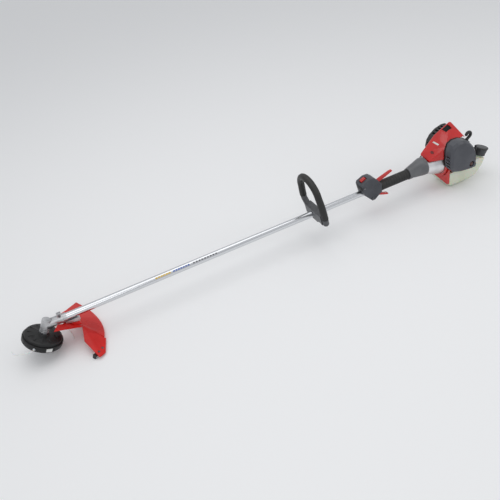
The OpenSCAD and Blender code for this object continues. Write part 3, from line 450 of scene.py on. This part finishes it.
# ---- gearbox ----
# A two-piece angle gearbox cast in aluminium and shot blasted, clamped on the tube by a split
# socket with one screw. A hexagon plug on top closes its grease hole.
cast_aluminium = finish("cast_aluminium", (0.44, 0.44, 0.45), (0.66, 0.66, 0.67), 0.36, metal=1.0,
                        fine=1500, broad=35, bump=0.22, wear_and_highlight=0.5, wear_and_highlight_colour=(0.8, 0.8, 0.8), dust=0.03)
rounded("gear_housing", cast_aluminium, corner=0.0008)
rounded("gear_cap", cast_aluminium, corner=0.0005)
rounded("output_shaft", bright_steel, corner=0.0003)

seam_reach = 0.000002


def turned(name, profile, place, material, body, steps=64):
    """A turned part: a closed profile of (radius, height) in millimetres spun round Z."""
    form = bmesh.new()
    corners = [form.verts.new((r / 1000, 0, z / 1000)) for r, z in profile]
    edges = [form.edges.new((a, b)) for a, b in zip(corners, corners[1:] + corners[:1])]
    bmesh.ops.spin(form, geom=corners + edges, cent=(0, 0, 0), axis=(0, 0, 1),
                   angle=2 * pi, steps=steps, use_merge=True)
    bmesh.ops.remove_doubles(form, verts=form.verts, dist=seam_reach)
    bmesh.ops.dissolve_degenerate(form, edges=form.edges, dist=seam_reach)
    bmesh.ops.transform(form, matrix=place, verts=form.verts)
    bmesh.ops.recalc_face_normals(form, faces=form.faces)
    return shown(name, form, material, body)


# Three shallow rings are cast round the gearbox neck.
rib_heights = (-21.5, -15.5, -9.5)
rib_foot = 13.0
rib_shoulder = 14.3
rib_crest = 14.6
for number, level in enumerate(rib_heights):
    turned(f"gearbox_rib_{number + 1}",
           [(rib_foot, level - 1.1), (rib_shoulder, level - 0.7), (rib_crest, level),
            (rib_shoulder, level + 0.7), (rib_foot, level + 1.1)],
           head_frame, cast_aluminium, "root")

# ---- line head ----
# The upper half of the line head is moulded black nylon with radial ribs. Its lower cover
# snaps on below, with two lined eyelets where the lines come out.
head_nylon = finish("head_nylon", (0.006, 0.006, 0.006), (0.014, 0.014, 0.015), 0.42, fine=700,
                    broad=22, bump=0.12, wear_and_highlight=0.5, wear_and_highlight_colour=(0.05, 0.05, 0.05), dust=0.03,
                    specular_ior_level=0.35)
rounded("head_housing", head_nylon, corner=0.0006)
rounded("head_cover", head_nylon, corner=0.0006)
rounded("bump_knob", head_nylon, corner=0.001)
coated(head_nylon, "spool")
coated(bright_steel, "head_spring")
eyelet_turns = (238, 58)
eyelet_place = (0.0667, 0, -0.054)
for number, turn in enumerate(eyelet_turns):
    eyelet_frame = (head_frame @ Matrix.Rotation(radians(turn), 4, "Z")
                    @ Matrix.Translation(eyelet_place) @ Matrix.Rotation(radians(90), 4, "Y"))
    turned(f"line_eyelet_{number + 1}",
           [(1.9, -1.2), (3.4, -1.2), (4.2, -0.4), (4.4, 0.3), (4.0, 0.9), (2.6, 0.9), (1.9, 0.3)],
           eyelet_frame, bright_steel, "line_head", steps=32)

# A plain pale patch printed on the cover's rim, where such heads carry a mark.
pale_patch_finish = finish("pale_patch", (0.62, 0.62, 0.60), (0.76, 0.76, 0.74), 0.4, fine=900,
                     broad=50, bump=0.03, wear_and_highlight=0.1, dust=0.05)
patch_radius = 65.15
patch_heights = (-59, -47)
wrapped_patch("head_patch", patch_radius, [patch_heights], 271, 17, head_frame, pale_patch_finish,
              "line_head")

# ---- shield ----
# The guard over the head is injection moulded in red polypropylene, with a thin rim skirt and
# a folded flap at the operator's side. Two screws hold it to the gearbox tongue.
# Its lighter red edge colour is partly wear and partly a painted highlight on the rounded edges.
guard_red = finish("guard_red", (0.50, 0.010, 0.008), (0.66, 0.016, 0.012), 0.30, fine=800,
                   broad=14, bump=0.04, wear_and_highlight=0.5, wear_and_highlight_colour=(0.74, 0.06, 0.05), dust=0.02,
                   specular_ior_level=0.25, subsurface_weight=0.05)
rounded("shield", guard_red, corner=0.0007)
rounded("shield_bracket", cast_aluminium, corner=0.001)
cutter = rounded("line_cutter", head_nylon, corner=0.0004)
cutter.data.materials.append(bright_steel)
cutter_place = (0.156, -0.1135, -0.0224)
cutter_turn = 30.6
cutter_slope = 14.6
cutter_frame = (head_frame @ Matrix.Translation(cutter_place)
                @ Matrix.Rotation(radians(cutter_turn), 4, "Z")
                @ Matrix.Rotation(radians(-cutter_slope), 4, "Y"))
blade_side = -0.0059
for face in cutter.data.polygons:
    if (cutter_frame.inverted() @ face.center).y < blade_side:
        face.material_index = 1

# ---- loop handle ----
# A steel bow in a black rubber sleeve, clamped round the tube by a grey nylon block.
# The bow's foot slides along the tube when the clamp screw is slack.
grip_rubber = finish("grip_rubber", (0.006, 0.006, 0.006), (0.014, 0.014, 0.013), 0.52, fine=1400,
                     broad=30, bump=0.25, wear_and_highlight=0.4, wear_and_highlight_colour=(0.07, 0.07, 0.07), dust=0.08)
clamp_nylon = finish("clamp_nylon", (0.055, 0.057, 0.062), (0.085, 0.088, 0.095), 0.38, fine=1100,
                     broad=24, bump=0.12, wear_and_highlight=0.5, wear_and_highlight_colour=(0.25, 0.25, 0.26), dust=0.08)
rounded("loop_frame", clamp_nylon, corner=0.0009)
rounded("loop_grip", grip_rubber, corner=0.0006, sharp=50)
rounded("loop_screws", dark_steel, corner=0.0004)

# ---- throttle housing ----
# Two halves of glass-filled nylon meet along the tube's middle plane and are held by screws.
# They carry the trigger, the lockout lever and the stop switch.
housing_nylon = finish("housing_nylon", (0.030, 0.033, 0.042), (0.052, 0.056, 0.068), 0.38,
                       fine=1100, broad=20, bump=0.14, wear_and_highlight=0.5, wear_and_highlight_colour=(0.2, 0.21, 0.23), dust=0.06)
control_red = finish("control_red", (0.46, 0.010, 0.010), (0.62, 0.016, 0.014), 0.26, fine=800,
                     broad=30, bump=0.03, wear_and_highlight=0.4, wear_and_highlight_colour=(0.85, 0.3, 0.25), dust=0.03)
rounded("throttle_housing_left", housing_nylon, corner=0.0012)
rounded("throttle_housing_right", housing_nylon, corner=0.0012)


def facing(centre, normal, along):
    """A frame at a point given in mm, with Z out of a surface and X along it."""
    out = Vector(normal).normalized()
    side = (Vector(along) - out * Vector(along).dot(out)).normalized()
    return (Matrix.Translation(at(*centre))
            @ Matrix((side, out.cross(side), out)).transposed().to_4x4())

block_corner = 0.0004


def blocks(name, parts, place, material, body):
    """Rounded blocks in one piece: each has a centre and size in mm and a turn about X."""
    form = bmesh.new()
    for centre, size, turn in parts:
        cube = bmesh.ops.create_cube(form, size=0.001)["verts"]
        bmesh.ops.transform(
            form, verts=cube, matrix=Matrix.Translation(Vector(centre) / 1000)
            @ Matrix.Rotation(radians(turn), 4, "X") @ Matrix.Diagonal((*size, 1)))
    bmesh.ops.bevel(form, geom=form.edges[:], offset=block_corner, affect="EDGES", segments=2,
                    profile=0.5, material=-1)
    bmesh.ops.transform(form, matrix=place, verts=form.verts)
    bmesh.ops.recalc_face_normals(form, faces=form.faces)
    return shown(name, form, material, body)


blocks("housing_band", [((0, 0, 0), (40, 20, 1.6), 0), ((0, 0, 0.8), (30, 4, 1.4), 0),
                        ((0, 6, 0.8), (30, 1.6, 1.4), 0), ((0, -6, 0.8), (30, 1.6, 1.4), 0)],
       facing((1199.6, 0, 27), (-0.976, 0, -0.22), (0, 1, 0)), head_nylon, "root")
rounded("trigger", control_red, corner=0.001)
rounded("lockout_lever", control_red, corner=0.001)
rounded("stop_switch", control_red, corner=0.0006)
coated(bright_steel, "return_springs")
rounded("screws", dark_steel, corner=0.0003)

# ---- rear grip and throttle cable ----
# A moulded rubber sleeve on the tube behind the trigger, and the sheathed cable that runs
# under it to the carburettor.
rounded("rear_grip", grip_rubber, corner=0.001)
rounded("throttle_cable", grip_rubber, corner=0, sharp=60)

# ---- cone and clutch housing ----
# A grey nylon cone covers the joint between the tube and the engine. Behind it the clutch
# housing is cast aluminium, left bright.
cone_nylon = finish("cone_nylon", (0.085, 0.088, 0.095), (0.135, 0.138, 0.145), 0.34, fine=1000,
                    broad=20, bump=0.10, wear_and_highlight=0.5, wear_and_highlight_colour=(0.35, 0.35, 0.36), dust=0.06)
bell_aluminium = finish("bell_aluminium", (0.66, 0.66, 0.68), (0.84, 0.84, 0.85), 0.32, metal=1.0,
                        fine=1500, broad=30, bump=0.15, wear_and_highlight=0.4, wear_and_highlight_colour=(0.9, 0.9, 0.9), dust=0.02)
rounded("coupling_cone", cone_nylon, corner=0.0008)
rounded("clutch_housing", bell_aluminium, corner=0.0008)
coated(bright_steel, "clutch_shoe_a", "clutch_shoe_b")

# ---- engine core ----
# Crankcase and finned cylinder are cast aluminium bolted together; the crankshaft, piston and
# flywheel run inside. A coil beside the flywheel feeds the spark plug.
coated(cast_aluminium, "crankcase", "engine_cylinder", "carburettor", "flywheel")
coated(bright_steel, "piston_and_rod", "crankshaft")
plug_ceramic = finish("plug_ceramic", (0.74, 0.74, 0.70), (0.86, 0.86, 0.83), 0.15, bump=0.01)
coated(plug_ceramic, "spark_plug")
coil_resin = finish("coil_resin", (0.018, 0.018, 0.02), (0.03, 0.03, 0.033), 0.35)
coated(coil_resin, "ignition_coil", "choke_lever")

# ---- shroud ----
# The cylinder's cowl is glossy red nylon. A black louvred insert fills its top window and a
# pale raised bar sits on its near face.
# Its pinkish edge colour is partly wear and partly a painted highlight on the chamfered edges.
cowl_red = finish("cowl_red", (0.50, 0.006, 0.006), (0.64, 0.012, 0.010), 0.16, fine=500,
                  broad=12, bump=0.03, wear_and_highlight=0.4, wear_and_highlight_colour=(0.9, 0.3, 0.25), dust=0.04, coat_weight=0.3)
rounded("engine_shroud", cowl_red, corner=0.0012)
rounded("tank_foot", cowl_red, corner=0.0012)

louvre_count = 5
louvre_pitch = 6
louvre_lean = 32
blocks("shroud_louvres",
       [((0, 0, -4.6), (36, 32, 1.6), 0)]
       + [((0, -12 + louvre_pitch * k, -2.4), (33, 4.6, 1.5), louvre_lean)
          for k in range(louvre_count)],
       facing((1615.5, 21, 110.2), (-0.442, -0.389, 0.808), (1, 0, 0)),
       head_nylon, "root")
blocks("shroud_plate", [((0, 0, 0.3), (31, 6.4, 1.0), 0), ((0, 0, 0.7), (28, 4.4, 1.0), 0)],
       facing((1551.3, 4.9, 79.7), (-0.536, -0.02, 0.844), (0, 1, 0)),
       pale_patch_finish, "root")
# A dark red dish stands for the screw recess on the near face: its dark colour is painted shade inside
# the hole.
painted_recess_shade = finish("painted_recess_shade", (0.13, 0.006, 0.006), (0.19, 0.010, 0.009), 0.4)
turned("shroud_recess_shade", [(0.0, 0.5), (5.2, 0.5), (6.6, 1.3), (7.6, 1.3), (8.2, 0.2), (8.2, -0.8),
                         (0.0, -0.8)],
       facing((1521.9, -10.5, 58.3), (-0.672, -0.203, 0.712), (0, 1, 0))
       @ Matrix.Diagonal((1, 0.62, 1, 1)), painted_recess_shade, "root", steps=40)

# ---- muffler and its guard ----
# The muffler is folded steel, bolted to the cylinder. Its guard is a black heat-proof cover
# with louvres.
guard_black = finish("guard_black", (0.007, 0.007, 0.007), (0.016, 0.016, 0.017), 0.45, fine=900,
                     broad=25, bump=0.15, wear_and_highlight=0.5, wear_and_highlight_colour=(0.12, 0.12, 0.12), dust=0.08)
rounded("muffler", dark_steel, corner=0.0008)
rounded("muffler_guard", guard_black, corner=0.001)

# ---- fuel tank, cap and fuel lines ----
# The tank is blow-moulded natural polyethylene, so it is milky and shows a fuel stain.
# The ribbed black cap screws on its neck against a rubber seal.
tank_poly = finish("tank_polyethylene", (0.60, 0.61, 0.46), (0.72, 0.72, 0.60), 0.34, fine=500,
                   broad=14, bump=0.06, wear_and_highlight=0.2, wear_and_highlight_colour=(0.8, 0.82, 0.74), dust=0.05,
                   subsurface_weight=0.35, subsurface_scale=0.01)
rounded("fuel_tank", tank_poly, corner=0.0015)
cap_grey = finish("cap_grey", (0.030, 0.031, 0.034), (0.052, 0.054, 0.058), 0.4, fine=1000,
                  broad=30, bump=0.12, wear_and_highlight=0.5, wear_and_highlight_colour=(0.2, 0.2, 0.2), dust=0.08)
rounded("fuel_cap", cap_grey, corner=0.0006)
cap_tilt = 17
cap_frame = Matrix.Translation(at(1732, -38, -18)) @ Matrix.Rotation(radians(cap_tilt), 4, "Y")
turned("fuel_cap_rim", [(22.6, 32.7), (24.6, 32.4), (25.9, 30.6), (25.9, 27.6), (24.4, 26.6),
                        (23.6, 29.0), (22.4, 31.8)],
       cap_frame, guard_black, "tank_cap")
coated(bushing_rubber, "cap_seal")
fuel_hose = finish("fuel_hose", (0.50, 0.40, 0.16), (0.64, 0.54, 0.26), 0.3)
coated(fuel_hose, "fuel_lines")

# ---- carburettor side: filter, cover, primer and levers ----
# A faceted grey cover snaps over the foam filter element. The primer bulb is pressed to
# fill the carburettor before a cold start.
cover_nylon = finish("cover_nylon", (0.040, 0.043, 0.054), (0.070, 0.074, 0.088), 0.34, fine=1000,
                     broad=16, bump=0.10, wear_and_highlight=0.5, wear_and_highlight_colour=(0.28, 0.29, 0.31), dust=0.06)
rounded("filter_cover", cover_nylon, corner=0.0012)
# A black strip round the cover's outline is painted shade: it stands for the dark shadow line where
# the shroud's edge overhangs the cover.
shadow_strip_width = 0.006
shadow_strip_depth = 0.0075
shadow_strip_near_side = -57.5
cover_edge = [(1546, 26), (1549, 6), (1562, -9), (1597, -20), (1652, -27), (1668, -22), (1669, 10),
              (1663, 44), (1648, 72), (1626, 98), (1600, 110), (1572, 112), (1553, 103), (1545, 78)]
shadow_strip_form = bmesh.new()
shadow_strip_face = shadow_strip_form.faces.new([shadow_strip_form.verts.new(at(x, shadow_strip_near_side, z)) for x, z in cover_edge])
bmesh.ops.inset_individual(shadow_strip_form, faces=[shadow_strip_face], thickness=shadow_strip_width)
bmesh.ops.delete(shadow_strip_form, geom=[shadow_strip_face], context="FACES")
shadow_strip_wall = bmesh.ops.extrude_face_region(shadow_strip_form, geom=shadow_strip_form.faces[:])
bmesh.ops.translate(shadow_strip_form, vec=(0, shadow_strip_depth, 0),
                    verts=[v for v in shadow_strip_wall["geom"] if isinstance(v, bmesh.types.BMVert)])
bmesh.ops.recalc_face_normals(shadow_strip_form, faces=shadow_strip_form.faces)
shadow_strip_piece = shown("cover_shadow_strip", shadow_strip_form, grip_rubber, "root")
shadow_strip_corner = shadow_strip_piece.modifiers.new("corner", "BEVEL")
shadow_strip_corner.width = 0.001
shadow_strip_corner.segments = 2
blocks("cover_latch", [((0, 0, 0), (13, 16, 5), 0), ((4, 0, 1.5), (4, 13, 5), 0),
                       ((-2.5, 0, 1.2), (1.2, 14, 4.6), 0)],
       facing((1664, -84, -17), (0.2, -1, 0), (1, 0, -0.2)), guard_black, "root")
filter_foam = finish("filter_foam", (0.02, 0.02, 0.02), (0.05, 0.05, 0.05), 0.9, fine=420, bump=0.9)
coated(filter_foam, "filter_element")
primer_rubber = finish("primer_rubber", (0.05, 0.02, 0.018), (0.10, 0.04, 0.03), 0.2, bump=0.02)
rounded("primer_bulb", primer_rubber, corner=0.0005, sharp=60)
lever_brass = finish("lever_brass", (0.55, 0.38, 0.14), (0.72, 0.52, 0.22), 0.3, metal=1.0)
coated(lever_brass, "throttle_lever")

# ---- starter ----
# A spring starter behind a ribbed nylon cover. Its braided rope ends in a hooked grip that
# rests on a guide.
rounded("starter_housing", housing_nylon, corner=0.001)
coated(coil_resin, "starter_pulley")
rope_braid = finish("rope_braid", (0.55, 0.55, 0.52), (0.78, 0.78, 0.75), 0.8, fine=300, bump=0.6)
coated(rope_braid, "starter_rope")
rounded("starter_handle", guard_black, corner=0.0006, sharp=60)
